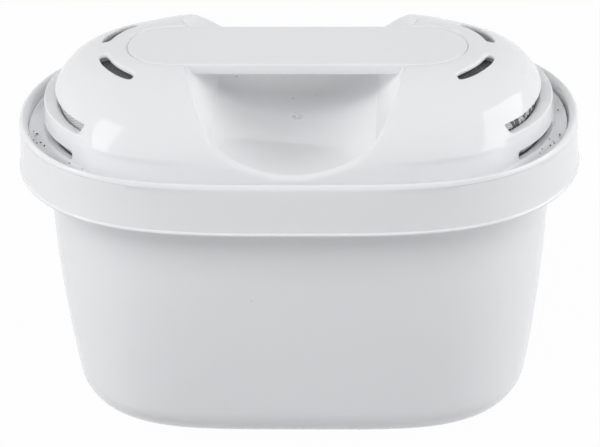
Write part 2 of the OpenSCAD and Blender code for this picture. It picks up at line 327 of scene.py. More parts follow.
# Outside or inside of the cover as rows of columns, from the ledge up to the middle line. For each column the
# profile is worked out densely, cut off where the tunnel meets it, rounded there, and then divided into rows.
def coverRows(less, outsideRows, insideRows):
    c = cover
    edge, rounding = c["edge"] - less, c["edgeRound"] if not less else 0.05
    bandRef, edgeRef = bandRing(c["bandInset"] + less), bandRing(c["bandInset"] + c["edgeLean"] + less)
    count = len(bandRef)
    side = np.abs(bandRef[:, 1])
    step = 1 - np.clip((side - 18.4) / 1.8, 0, 1)  # the edge stands proud only round the ends
    step = step * step * (3 - 2 * step)
    front = np.clip((side - 18.4) / 4, 0, 1)
    front = front * front * (3 - 2 * front)
    tops = []  # dense profile, as points of every column

    z = np.linspace(c["ledge"], c["band"] - (0 if not less else 0.8), 44)
    fillet = np.clip(c["fillet"] - (z - c["ledge"]), 0, None) if not less else 0 * z
    out = c["fillet"] - np.sqrt(np.clip(c["fillet"] ** 2 - fillet ** 2, 0, None))
    for h, grow in zip(z, out):
        scale = 1 + grow / 30
        tops.append(np.column_stack([bandRef[:, 0] * (scale if grow else 1), bandRef[:, 1] * scale,
                                     np.full(count, h)]))
    for h in np.linspace(z[-1], edge - rounding, 30)[1:]:
        k = (h - z[-1]) / (edge - z[-1])
        band = bandRef * (1 - k) + edgeRef * k
        soft = np.clip(k / 0.5, 0, 1)
        soft = soft * soft * (3 - 2 * soft)
        domeAt = domeRing(float(domeAngle(np.float64(max(h, c["foot"])), less)), less)
        both = band * (1 - soft) + domeAt * soft
        both = both * (1 - step[:, None]) + band * step[:, None]
        tops.append(np.column_stack([both, np.full(count, h)]))
    domeAt = domeRing(float(domeAngle(np.float64(edge), less)), less)
    width = np.hypot(*(edgeRef - domeAt).T)
    for f in np.linspace(0, 1, 26)[1:]:
        d = np.minimum(width * f, rounding)
        rise = rounding - np.sqrt(np.clip(rounding ** 2 - (rounding - d) ** 2, 0, None))
        h = edge - rise
        low = domeRing(float(domeAngle(np.float64(edge - rounding * (1 - f)), less)), less)
        stepped = edgeRef * (1 - f) + domeAt * f
        both = low * (1 - step[:, None]) + stepped * step[:, None]
        tops.append(np.column_stack([both, (edge - rounding * (1 - f)) * (1 - step) + h * step]))
    start = float(domeAngle(np.float64(edge), less))
    for tau in start + (np.pi / 2 - start) * np.linspace(0, 1, 150)[1:]:
        tops.append(np.column_stack([domeRing(tau, less), np.full(count, domeHeight(tau, less))]))
    dense = np.array(tops)
    if not less:  # along the long sides the band spreads in a cove towards its foot
        cove = c["cove"] * front * np.clip((c["coveTop"] - dense[..., 2]) / (c["coveTop"] - c["ledge"]), 0, 1) ** 1.15
        dense[..., 0] *= 1 + cove / 70
        dense[..., 1] *= 1 + cove / c["halfDepth"]
    nMiddle = len(middleX)
    dense[:, :nMiddle, 0] = middleX  # the columns beside the middle stay in planes across the tunnel

    cut = np.full(count, c["top"] - less)
    cut[:nMiddle] = tunnelHeight(middleX, less)
    along = np.concatenate([np.zeros((1, count)), np.cumsum(np.linalg.norm(np.diff(dense, axis=0), axis=2), 0)])
    along += np.arange(len(along))[:, None] * 1e-7
    full = along[-1].copy()
    for k in range(nMiddle):
        full[k] = np.interp(cut[k], np.maximum.accumulate(dense[:, k, 2]), along[:, k])
    at = lambda s: np.stack([[np.interp(s[:, k], along[:, k], dense[:, k, a]) for k in range(count)]
                             for a in range(3)], -1).transpose(1, 0, 2)
    corner = at(full[None])[0]
    corner[:, 2] = np.where(np.arange(count) < nMiddle, cut, corner[:, 2])
    centre = corner.copy()
    centre[:, 1] = 0
    centre[:, 0] = np.minimum(centre[:, 0], c["flatEnd"])
    inner = centre - corner
    inLong = np.maximum(np.linalg.norm(inner, axis=1), 1e-6)

    # how far the rounding reaches along each column, wider where the lip runs nearly along the column
    lipWay = np.gradient(corner, axis=0)
    lipWay /= np.maximum(np.linalg.norm(lipWay, axis=1), 1e-9)[:, None]
    outWay = at(np.maximum(full - 0.4, 0)[None])[0] - corner
    outWay /= np.maximum(np.linalg.norm(outWay, axis=1), 1e-9)[:, None]
    inWay = inner / inLong[:, None]
    sine = lambda way: np.linalg.norm(np.cross(lipWay, way), axis=1)
    reach = lambda way, most: np.minimum(c["lip"] / np.clip(sine(way), 0.55, 1), most)
    reachOut, reachIn = reach(outWay, full * 0.5), reach(inWay, inLong * 0.6)
    flat = (cut > c["top"] - less - 0.35)
    tight = 0.45 + 0.55 * np.clip((c["top"] - less - cut) / 6, 0, 1)
    reachOut, reachIn = reachOut * tight, reachIn * tight
    reachOut, reachIn = np.where(flat, np.minimum(reachOut, 1.2), reachOut), np.where(flat, 1.0, reachIn)
    smooth = lambda v: np.convolve(np.pad(v, 3, mode="edge"), np.ones(7) / 7, "valid")
    reachOut, reachIn = smooth(reachOut), smooth(reachIn)

    # stations of the rows, in millimetres along the profile
    last = np.array([1.6, 1.35, 1.1, 0.9, 0.7, 0.5, 0.33, 0.16, 0.0])
    fixed = np.array([0, 0.12, 0.25, 0.38, 0.5, 0.8, 1.5, 2.4, 3.2, 3.8, 4.1, 4.5, 5.0, 5.4, 5.7, 5.88, 5.98, 6.06,
                      6.14, 6.22, 6.32, 6.45, 6.7, 7.1, 7.6, 8.2]) if not less else np.linspace(0, 8, 12)
    shrink = np.clip((full - 1.8) / 16, 0, 1)
    rest = outsideRows - len(fixed) - len(last)
    s1 = fixed[:, None] * shrink
    s3 = full - last[:, None]
    k = np.linspace(0, 1, rest + 2)[1:-1, None]
    s2 = s1[-1] * (1 - k) + s3[0] * k
    stations = np.concatenate([s1, s2, s3])
    outside = at(stations)
    early = np.array([0.16, 0.33, 0.5, 0.7, 0.9, 1.1, 1.35, 1.6])
    k = np.linspace(0, 1, insideRows - len(early) + 1)[1:, None]
    inStations = np.concatenate([early[:, None] * np.minimum(inLong / 4, 1),
                                 1.6 * np.minimum(inLong / 4, 1) * (1 - k) + inLong * k])
    inside = corner[None] + inWay[None] * inStations[..., None]
    path = np.concatenate([stations - full, inStations])
    points = np.concatenate([outside, inside])
    tau = np.clip((path + reachOut) / (reachOut + reachIn), 0, 1)[..., None]
    a = at((full - reachOut)[None])[0]
    b = corner + inWay * reachIn[:, None]
    curve = (1 - tau) ** 2 * a + 2 * tau * (1 - tau) * corner + tau ** 2 * b
    within = ((path > -reachOut) & (path < reachIn))[..., None]
    points = np.where(within, curve, points)
    if not less:  # the flat sinks under the bar's plate
        sink = c["flatSink"] * np.clip((cut - (c["top"] - 0.5)) / 0.5, 0, 1)
        points[..., 2] -= sink * np.clip((path - 0.1) / 0.35, 0, 1)
    return points


def makeCover():
    c = cover
    outer, inner = coverRows(0.0, 66, 26), coverRows(c["wall"], 40, 16)
    ringAt = lambda inset, z: np.column_stack([bandRing(inset), np.full(len(endShare) + len(middleX), z)])[None]
    flange = [(3.05, 56.4), (2.97, 56.41), (2.87, 56.47), (2.7, 56.55), (2.4, 56.66), (2.15, 56.75), (2.06, 56.72),
              (2.03, 56.6), (2.03, c["flangeUnder"])]
    foot = flange + [(c["spigotOuter"], c["flangeUnder"]), (c["spigotOuter"], c["spigotLow"]),
                     (c["spigotInner"], c["spigotLow"]), (c["spigotInner"], c["ledge"])]
    grid = wholeTurn(np.concatenate([outer[::-1]] + [ringAt(i, z) for i, z in foot] + [inner]))
    rows = slice(len(outer), len(outer) + len(flange))  # the flange stands off the rim's wall at one end
    k = np.clip((grid[rows, :, 0] - 36) / 12, 0, 1) * np.clip((np.arange(len(flange)) - 3) / 2, 0, 1)[:, None]
    grid[rows, :, 0] -= c["endGap"] * k * k * (3 - 2 * k)
    x, behind = np.abs(grid[..., 0]), np.clip((grid[..., 1] - 8.5) / 3, 0, 1)  # the tunnel is wider at the back
    grid[..., 0] += np.sign(grid[..., 0]) * c["rearWider"] * behind * np.clip(np.minimum((x - 13) / 5, (27 - x) / 6), 0, 1)
    obj = makeObject("cover_shell", grid.reshape(-1, 3), gridFaces(len(grid), grid.shape[1]))
    return weld(obj)


# Inlet slots of the cover: two in a crescent above each end, one behind the band's edge and two in the band.
inlet = dict(outer=14.15, inner=12.35, outerGrow=0.5, innerGrow=0.25, nearEnd=13.2, farEnd=59.5, flare=0.3,
             uphillFlare=0.7, flareDeep=0.5, lipThick=0.75, columns=96, middleReach=18.3, middleLow=62.65, middleHigh=64.45,
             footFrom=3.5, footReach=17.7, footLow=57.0, footHigh=58.8, deep=11.0)


# Height of the dome over points of the plan, found by halving: first the ring's angle at which its outline has the
# point's y, then the ring whose outline passes through the point's x as well.
def domeOver(x, y, less=0.0):
    x, y = np.abs(x), np.abs(y)
    c = cover

    def outlineX(tau):
        w = np.cos(tau) ** (2 / c["fullness"])
        lo, hi = np.zeros_like(x), np.full_like(x, np.pi / 2)
        for _ in range(30):
            t = (lo + hi) / 2
            oy, sy = (c["halfDepth"] - less) * np.sin(t), stadiumQuarter(-less, t)[1]
            small = oy * w + sy * (1 - w) < y
            lo, hi = np.where(small, t, lo), np.where(small, hi, t)
        ox, sx = ovalQuarter(c["halfLength"] - less, 1, c["squareness"], t)[0], stadiumQuarter(-less, t)[0]
        return np.where(t > np.pi / 2 - 1e-4, -1.0, ox * w + sx * (1 - w))

    lo, hi = np.zeros_like(x), np.full_like(x, np.pi / 2)
    for _ in range(30):
        tau = (lo + hi) / 2
        covered = outlineX(tau) > x
        lo, hi = np.where(covered, tau, lo), np.where(covered, hi, tau)
    return domeHeight(tau, less)


# Closed tube from rows of ringed points, with a flat face at either end.
def tube(name, rows):
    count, columns = rows.shape[:2]
    faces = gridFaces(count, columns)
    faces += [list(range(columns - 1, -1, -1)), list(range((count - 1) * columns, count * columns))]
    return faceOutwards(makeObject(name, rows.reshape(-1, 3), faces))


# Upper slot: a squarish oval laid along the crescent, going straight down, and flaring in a quarter circle where it
# meets the dome, so that the slot's edge is round.
def upperCutter(sx, sy):
    c = inlet
    a = np.linspace(0, 2 * np.pi, c["columns"], endpoint=False)
    power = lambda v, n: np.sign(v) * np.abs(v) ** (2 / n)
    along, across = power(np.cos(a), 5), power(np.sin(a), 4)
    middle, half = math.radians((c["farEnd"] + c["nearEnd"]) / 2), math.radians((c["farEnd"] - c["nearEnd"]) / 2)
    rows = []
    for depth, pocket in [(-1.8, 0), (0.01, 0), (0.04, 0), (0.09, 0), (0.16, 0), (0.25, 0), (0.36, 0), (0.5, 0),
                          (c["lipThick"], 0), (c["lipThick"] + 0.02, 1), (2.5, 1)]:
        k = np.clip(1 - depth / c["flareDeep"], 0, 0.97)
        rise = 1 - math.sqrt(1 - k * k) + pocket
        grow = rise * (c["flare"] + (c["uphillFlare"] - c["flare"]) * np.clip(-across, 0, 1)) + 0.4 * pocket
        angle = middle + along * (half + rise * 0.8 / c["outer"])
        share = 0.5 + 0.5 * along
        outer, inner = c["outer"] + c["outerGrow"] * share, c["inner"] + c["innerGrow"] * share
        radius = (outer + inner) / 2 + across * ((outer - inner) / 2 + grow)
        x, y = cover["flatEnd"] + radius * np.cos(angle), radius * np.sin(angle)
        rows.append(np.stack([x, y, domeOver(x, y) - depth], -1))
    return tube("upperCutter", np.array(rows) * np.array([sx, sy, 1.0]))


# Slot that follows the outline of an end: at each y from one reach to the other it spans from the given insets in to
# its depth, and its height shrinks to nothing at its two ends in a squarish curve.
def edgeCutter(sx, fromY, toY, low, high, inset, deep, corner):
    a = np.linspace(0, 2 * np.pi, 48, endpoint=False)
    power = lambda v: np.sign(v) * np.abs(v) ** (2 / 7)
    x0, z0 = power(np.cos(a)), power(np.sin(a))
    middle, half = (fromY + toY) / 2, (toY - fromY) / 2
    run = np.concatenate([-half + corner * (1 - np.cos(np.linspace(0.12, np.pi / 2, 7))),
                          np.linspace(-half + corner, half - corner, 60)[1:-1]])
    run = np.concatenate([run, -run[:7][::-1]])
    shrink = np.clip((half - np.abs(run)) / corner, 0, 1)
    high_ = (high - low) / 2 - corner * (1 - np.sqrt(1 - (1 - shrink) ** 2))
    y = middle + run
    p, q = cup["halfLength"] - inset, cup["halfDepth"] - inset
    outer = p * (1 - np.abs(y / q) ** 2) ** (1 / cup["squareness"])
    x = outer[:, None] - deep / 2 + x0[None] * deep / 2
    z = (low + high) / 2 + z0[None] * high_[:, None]
    return tube("edgeCutter", np.stack([x * sx, np.broadcast_to(y[:, None], x.shape), z], -1))


# Pocket that thins the dome's wall from inside behind a slot: between the dome drawn in by two distances, over a
# range of heights, and square at its two ends.
def pocketCutter(sx, reach, low, high):
    c = inlet
    y = np.linspace(-reach, reach, 61)
    sides = []
    for less, heights in ((c["lipThick"], np.linspace(low, high, 6)), (2.6, np.linspace(high, low, 6))):
        for z in heights:
            ring = domeRing(float(domeAngle(np.float64(z), less)), less)
            sides.append(np.stack([np.interp(np.abs(y), ring[::-1, 1], ring[::-1, 0]) * sx, y, np.full_like(y, z)], -1))
    return tube("pocketCutter", np.array(sides).transpose(1, 0, 2))


def carveInlets(obj):
    c = inlet
    cutters = [upperCutter(sx, sy) for sx in (-1, 1) for sy in (-1, 1)]
    for sx in (-1, 1):
        cutters.append(edgeCutter(sx, -c["middleReach"], c["middleReach"], c["middleLow"], c["middleHigh"],
                                  3.0, c["deep"], 0.4))
        cutters.append(pocketCutter(sx, c["middleReach"] + 0.5, 61.9, 64.9))
        for y0, y1 in ((c["footFrom"], c["footReach"]), (-c["footReach"], -c["footFrom"])):
            cutters.append(edgeCutter(sx, y0, y1, c["footLow"], c["footHigh"], 2.6, c["deep"], 0.5))
            cutters.append(edgeCutter(sx, y0 - 0.5, y1 + 0.5, c["footLow"] - 0.5, c["footHigh"] + 0.6,
                                      cover["bandInset"] + c["lipThick"], 1.9, 0.3))
    return carve(obj, cutters)


# Handle bar: a plate with the flat's outline and rounded edges. Each row is a share of the way from the middle line
# to the outline, how far the outline is grown, and a height.
bar = dict(thick=2.1, gap=0.24, round=0.42, under=0.3)


def makeBar():
    c = bar
    x, y = stadiumQuarter(0.0)
    t = np.linspace(0, 1, 61)
    along = np.concatenate([[0], np.cumsum(np.hypot(np.diff(x), np.diff(y)))])
    x, y = np.interp(t[::-1] * along[-1], along, x), np.interp(t[::-1] * along[-1], along, y)
    medial = np.minimum(x, cover["flatEnd"])
    wayX, wayY = (x - medial) / cover["flatHalf"], y / cover["flatHalf"]
    top, low = cover["top"], cover["top"] - c["thick"]
    bend = np.linspace(0, np.pi / 2, 7)
    rows = [(r, top) for r in (0.0, 4.0, 8.0)]
    rows += [(cover["flatHalf"] - c["gap"] - c["round"] * (1 - math.sin(a)), top - c["round"] * (1 - math.cos(a)))
             for a in bend]
    rows += [(cover["flatHalf"] - c["gap"] - c["under"] * (1 - math.cos(a)), low + c["under"] * (1 - math.sin(a)))
             for a in bend]
    rows += [(r, low) for r in (8.0, 4.0, 0.0)]
    grid = np.array([np.stack([medial + wayX * r, wayY * r, np.full_like(x, z)], -1) for r, z in rows])
    grid = wholeTurn(grid)
    return weld(makeObject("handle_bar", grid.reshape(-1, 3), gridFaces(len(rows), grid.shape[1])))


# Woven screen behind the slots of one end: band and dome drawn in by a distance, beyond a plane across the cover.
screen = dict(inset=1.65, thick=0.6, bulge=0.42, start=23.3, outletOuter=11.4, outletInner=6.2, outletLow=2.7)


def makeInletScreen(side):
    c = screen
    band, start = bandRing(cover["bandInset"] + c["inset"], c["start"]), float(domeAngle(np.float64(61.0), c["inset"]))
    rows = [np.column_stack([band, np.full(len(band), z)]) for z in np.linspace(cover["ledge"] + 0.02, 60.9, 12)]
    for tau in np.linspace(start, np.pi / 2, 40):
        rows.append(np.column_stack([domeRing(tau, c["inset"], c["start"]),
                                     np.full(len(band), domeHeight(tau, c["inset"]))]))
    centre = np.array([c["start"], 0, cover["top"] - c["inset"]])
    rows += [centre + (rows[-1] - centre) * k for k in (0.75, 0.5, 0.25, 0.02)]
    grid = np.array(rows)
    z, y = grid[..., 2], np.abs(grid[..., 1])  # the cloth bulges into the slots under the bed's pressure
    level = lambda v, low, high: np.clip(np.minimum(v - low, high - v) / 0.5, 0, 1)
    bulge = c["bulge"] * (level(z, 62.0, 64.9) * level(y, -9, 18.7) + 0.25 * level(z, 56.8, 59.4) * level(y, 3.1, 18.1))
    way = grid[..., :2] - [cover["flatEnd"], 0]
    grid[..., :2] += way / np.maximum(np.linalg.norm(way, axis=-1), 1)[..., None] * bulge[..., None]
    back = grid[:, ::-1] * np.array([1, -1, 1])
    grid = np.concatenate([grid, back[:, 1:]], 1)[:, ::-1] * np.array([side, 1, 1])
    faces = gridFaces(*grid.shape[:2], wrap=False)
    obj = makeObject("inlet_weave_" + ("right" if side > 0 else "left"), grid.reshape(-1, 3),
                     [f[::-1] for f in faces] if side > 0 else faces)
    weld(obj)
    wall = obj.modifiers.new("thickness", "SOLIDIFY")
    wall.thickness, wall.offset = c["thick"] * mm, -1
    return obj


# Outlet screen: a flat ring with rounded edges round the socket.
def makeOutletScreen():
    c = screen
    a = np.linspace(0, 2 * np.pi, 97)[:-1]
    section = [(c["outletOuter"] - 0.15, 0), (c["outletOuter"], 0.15), (c["outletOuter"], 0.45),
               (c["outletOuter"] - 0.15, 0.6), (9.0, 0.6), (c["outletInner"] + 0.15, 0.6), (c["outletInner"], 0.45),
               (c["outletInner"], 0.15), (c["outletInner"] + 0.15, 0), (9.0, 0)]
    grid = np.array([np.stack([r * np.cos(a), r * np.sin(a), np.full_like(a, c["outletLow"] + z)], -1)
                     for r, z in section[::-1]])
    return makeObject("outlet_weave", grid.reshape(-1, 3), gridFaces(len(section), 96, wrapRows=True))


# Turned piece: a section of (radius, height) carried round an upright axis, its two ends on the axis.
def turned(name, section, x, y, columns=40):
    a = np.linspace(0, 2 * np.pi, columns, endpoint=False)
    grid = np.array([np.stack([x + r * np.cos(a), y + r * np.sin(a), np.full(columns, z)], -1) for r, z in section])
    return faceOutwards(weld(makeObject(name, grid.reshape(-1, 3), gridFaces(len(section), columns)), 0.0005))


# Gate mark on the tunnel's floor: the low stub left in a shallow dish.
gate = dict(x=0.0, y=-3.1, dish=1.05, dishDeep=0.5, stub=0.55, stubHigh=0.32)


def makeGateMark(obj):
    c = gate
    z = cover["floor"]
    t = np.linspace(0, np.pi / 2, 8)
    dish = [(c["dish"] * np.sin(a), z - c["dishDeep"] * np.cos(a)) for a in t] + [(c["dish"], z + 1), (0, z + 1)]
    carve(obj, [turned("dishCutter", dish, c["x"], c["y"])])
    high = z + c["stubHigh"]
    stub = [(0, z - 0.6), (c["stub"], z - 0.6), (c["stub"], z - 0.2), (c["stub"] - 0.05, z - 0.02),
            (c["stub"] - 0.15, high - 0.14), (c["stub"] - 0.3, high - 0.02), (0.1, high), (0, high)]
    return turned("gate_stub", stub, c["x"], c["y"])


# Carbon grains lying in the trough, on the rim and, as dust, in the tunnel: their places and sizes.
grains = [(-48.6, -5.6, 56.5, 0.2), (-47.6, -9.3, 56.5, 0.17), (-46.8, -10.7, 56.5, 0.18), (-48.9, -6.3, 56.5, 0.11),
          (-49.3, -4.6, 56.6, 0.1), (-49.7, -10.6, 58.78, 0.1), (-48.6, -12.8, 58.7, 0.13), (-47.8, -14.1, 58.7, 0.12),
          (-41.1, -23.0, 58.78, 0.17), (-38.5, -25.3, 58.8, 0.1), (48.5, 5.0, 56.5, 0.16), (49.6, 6.2, 56.9, 0.12),
          (48.7, -5.9, 56.5, 0.2), (46.7, -7.7, 56.5, 0.15), (46.9, -10.4, 56.5, 0.15), (47.5, -8.6, 56.5, 0.12),
          (45.4, -11.9, 56.5, 0.1), (47.6, -12.8, 58.1, 0.13), (44.9, -17.6, 58.35, 0.14), (50.1, 2.4, 56.8, 0.1),
          (-47.9, 6.3, 56.5, 0.13), (-44.8, 14.6, 56.5, 0.12), (46.8, 11.8, 56.5, 0.13), (-14.0, 8.5, 63.68, 0.09),
          (-11.8, 7.6, 62.26, 0.08), (-1.2, 4.9, 59.04, 0.09), (3.3, 5.6, 59.24, 0.07)]


def makeGrains():
    bm = bmesh.new()
    bmesh.ops.create_icosphere(bm, subdivisions=1, radius=1)
    ball = np.array([v.co for v in bm.verts])
    corners = np.array([[v.index for v in f.verts] for f in bm.faces])
    bm.free()
    rng = np.random.default_rng(7)
    places = np.array(grains)
    shape = ball[None] * rng.uniform(0.72, 1.25, (len(places), len(ball), 1)) * rng.uniform(0.7, 1.3, (len(places), 1, 3))
    points = shape * places[:, None, 3:] + places[:, None, :3] + np.array([0, 0, 0.6]) * places[:, None, 3:]
    faces = corners[None] + (np.arange(len(places)) * len(ball))[:, None, None]
    obj = makeObject("carbon_grains", points.reshape(-1, 3), faces.reshape(-1, 3).tolist())
    obj.data.polygons.foreach_set("use_smooth", np.zeros(len(obj.data.polygons), bool))
    return obj


# The studio: a plain pale floor, softboxes above, in front and at both sides, and a soft even world.
def makeStudio():
    corners = [(-4000, -4000, 0), (4000, -4000, 0), (4000, 4000, 0), (-4000, 4000, 0)]
    floor = makeObject("studio_floor", corners, [[0, 1, 2, 3]])
    floor.data.materials.append(studioMaterial())


camera = dict(azimuth=2.54, elevation=26.40, roll=-1.06, distance=900.0, aim=(-0.10, 0.0, 35.23), focus=4761.0)


# Camera at the photograph's angle: looking at the aim point from the given azimuth, elevation and distance.
def makeCamera():
    c = camera
    az, el, roll = (math.radians(c[k]) for k in ("azimuth", "elevation", "roll"))
    back = Vector((math.sin(az) * math.cos(el), -math.cos(az) * math.cos(el), math.sin(el)))
    right = Vector((math.cos(az), math.sin(az), 0.0))
    up = back.cross(right)
    right, up = right * math.cos(roll) + up * math.sin(roll), up * math.cos(roll) - right * math.sin(roll)
    data = bpy.data.cameras.new("camera")
    data.sensor_width = 36.0
    data.lens = c["focus"] * 36.0 / 600
    data.clip_start, data.clip_end = 0.05, 20.0
    obj = bpy.data.objects.new("camera", data)
    turn = Matrix((right, up, back)).transposed().to_4x4()
    turn.translation = (Vector(c["aim"]) + back * c["distance"]) * mm
    obj.matrix_world = turn
    bpy.context.scene.collection.objects.link(obj)
    bpy.context.scene.camera = obj


studio = dict(world=0.09, glow=0.98, lamps=dict(
    topFront=(-4, 52, 950, 700, 420, 2.9), back=(180, 50, 950, 800, 400, 1.0),
    left=(-72, 13, 900, 340, 1280, 3.0, 8), leftHigh=(-80, 33, 900, 600, 500, 1.8),
    leftLow=(-48, 14, 1000, 600, 250, 1.1), right=(86, 19, 900, 690, 1120, 5.0, -43),
    rightHigh=(85, 42, 900, 500, 500, 0.6), rightLow=(72, 12, 1000, 600, 250, 0.8)))


# Softbox: at an azimuth and elevation from the object, a distance, its width and height, and its power. With a turn
# about its own axis, in degrees, it shows as a patch in the plastic.
def softbox(name, azimuth, elevation, distance, width, height, power, turn=None):
    az, el = math.radians(azimuth), math.radians(elevation)
    place = Vector((math.sin(az) * math.cos(el), -math.cos(az) * math.cos(el), math.sin(el))) * distance * mm
    data = bpy.data.lights.new(name, "AREA")
    data.shape, data.size, data.size_y, data.energy = "RECTANGLE", width * mm, height * mm, power
    obj = bpy.data.objects.new(name, data)
    obj.location = place
    obj.rotation_euler = ((-place).to_track_quat("-Z", "Y").to_matrix() @ Matrix.Rotation(
        math.radians(turn or 0), 3, "Z")).to_euler()
    obj.visible_glossy = turn is not None
    bpy.context.scene.collection.objects.link(obj)


# Adds a node, sets its properties, and gives its inputs values or links them to other nodes' sockets.
def addNode(tree, kind, feeds={}, **settings):
    node = tree.nodes.new("ShaderNode" + kind)
    for key, value in settings.items():
        setattr(node, key, value)
    for key, value in feeds.items():
        if isinstance(value, bpy.types.NodeSocket):
            tree.links.new(value, node.inputs[key])
        else:
            node.inputs[key].default_value = value
    return node


def maths(tree, operation, *values):
    return addNode(tree, "Math", dict(enumerate(values)), operation=operation).outputs[0]


# Soft threshold: 0 below low, 1 above high.
def between(tree, value, low, high):
    feeds = {"Value": value, "From Min": low, "From Max": high}
    return addNode(tree, "MapRange", feeds, interpolation_type="SMOOTHSTEP").outputs[0]


def mixColours(tree, factor, first, second):
    return addNode(tree, "Mix", {0: factor, 6: first, 7: second}, data_type="RGBA").outputs[2]


def noise(tree, vector, scale, detail=2.0, roughness=0.5):
    feeds = {"Vector": vector, "Scale": scale, "Detail": detail, "Roughness": roughness}
    return addNode(tree, "TexNoise", feeds).outputs["Fac"]


def stretched(tree, vector, scale, turn=(0, 0, 0)):
    return addNode(tree, "Mapping", {"Vector": vector, "Scale": scale, "Rotation": turn}).outputs[0]


# Shader group with named sockets: inputs as name, kind and value, outputs as name and kind.
def newGroup(name, inputs, outputs):
    tree = bpy.data.node_groups.new(name, "ShaderNodeTree")
    for label, kind, value in inputs:
        tree.interface.new_socket(label, in_out="INPUT", socket_type="NodeSocket" + kind).default_value = value
    for label, kind in outputs:
        tree.interface.new_socket(label, in_out="OUTPUT", socket_type="NodeSocket" + kind)
    return tree, tree.nodes.new("NodeGroupInput").outputs, tree.nodes.new("NodeGroupOutput").inputs


def place(tree):
    return addNode(tree, "TexCoord").outputs["Object"]


# Moulded skin: broad cloudiness in the colour, the faint ripple of a polished mould, hairline scratches in patches,
# and a few specks of dust.
def mouldedSkinGroup():
    tree, given, out = newGroup("moulded skin", [
        ("Colour", "Color", (0.8, 0.8, 0.8, 1)), ("Cloud", "Color", (0.7, 0.7, 0.7, 1)),
        ("Dust Colour", "Color", (0.2, 0.18, 0.15, 1)), ("Gloss", "Float", 0.2), ("Scratches", "Float", 0.3),
        ("Dust", "Float", 0.5)], [("Colour", "Color"), ("Roughness", "Float"), ("Height", "Float")])
    at = place(tree)
    cloud = between(tree, noise(tree, at, 28.0, 3.0, 0.55), 0.3, 0.7)
    ripple = noise(tree, at, 420.0, 1.0)
    grit = noise(tree, at, 5200.0, 1.0)
    fine = noise(tree, stretched(tree, at, (60, 2600, 900), (0.3, 0.2, 0.5)), 1.0, 1.0)
    cross = noise(tree, stretched(tree, at, (2300, 90, 1100), (0.1, 0.4, -0.3)), 1.0, 1.0)
    patch = between(tree, noise(tree, at, 75.0, 2.0), 0.5, 0.68)
    hair = maths(tree, "MULTIPLY", maths(tree, "MAXIMUM", between(tree, fine, 0.66, 0.72),
                                         between(tree, cross, 0.68, 0.74)), patch)
    scratch = maths(tree, "MULTIPLY", hair, given["Scratches"])
    cell = addNode(tree, "TexVoronoi", {"Vector": at, "Scale": 260.0})
    chosen = between(tree, addNode(tree, "SeparateColor", {0: cell.outputs["Color"]}).outputs[0], 0.86, 0.88)
    speck = maths(tree, "MULTIPLY", maths(tree, "SUBTRACT", 1.0, between(tree, cell.outputs["Distance"], 0.02, 0.04)),
                  maths(tree, "MULTIPLY", chosen, given["Dust"]))
    tinted = mixColours(tree, maths(tree, "MULTIPLY", cloud, 0.6), given["Colour"], given["Cloud"])
    tree.links.new(mixColours(tree, speck, tinted, given["Dust Colour"]), out["Colour"])
    rough = maths(tree, "ADD", given["Gloss"], maths(tree, "MULTIPLY", cloud, 0.05))
    rough = maths(tree, "ADD", rough, maths(tree, "MULTIPLY", scratch, 0.3))
    tree.links.new(maths(tree, "ADD", rough, maths(tree, "MULTIPLY", speck, 0.3)), out["Roughness"])
    height = maths(tree, "ADD", maths(tree, "MULTIPLY", ripple, 0.9), maths(tree, "MULTIPLY", grit, 0.1))
    height = maths(tree, "SUBTRACT", height, maths(tree, "MULTIPLY", scratch, 0.12))
    tree.links.new(maths(tree, "ADD", height, maths(tree, "MULTIPLY", speck, 0.3)), out["Height"])
    return tree


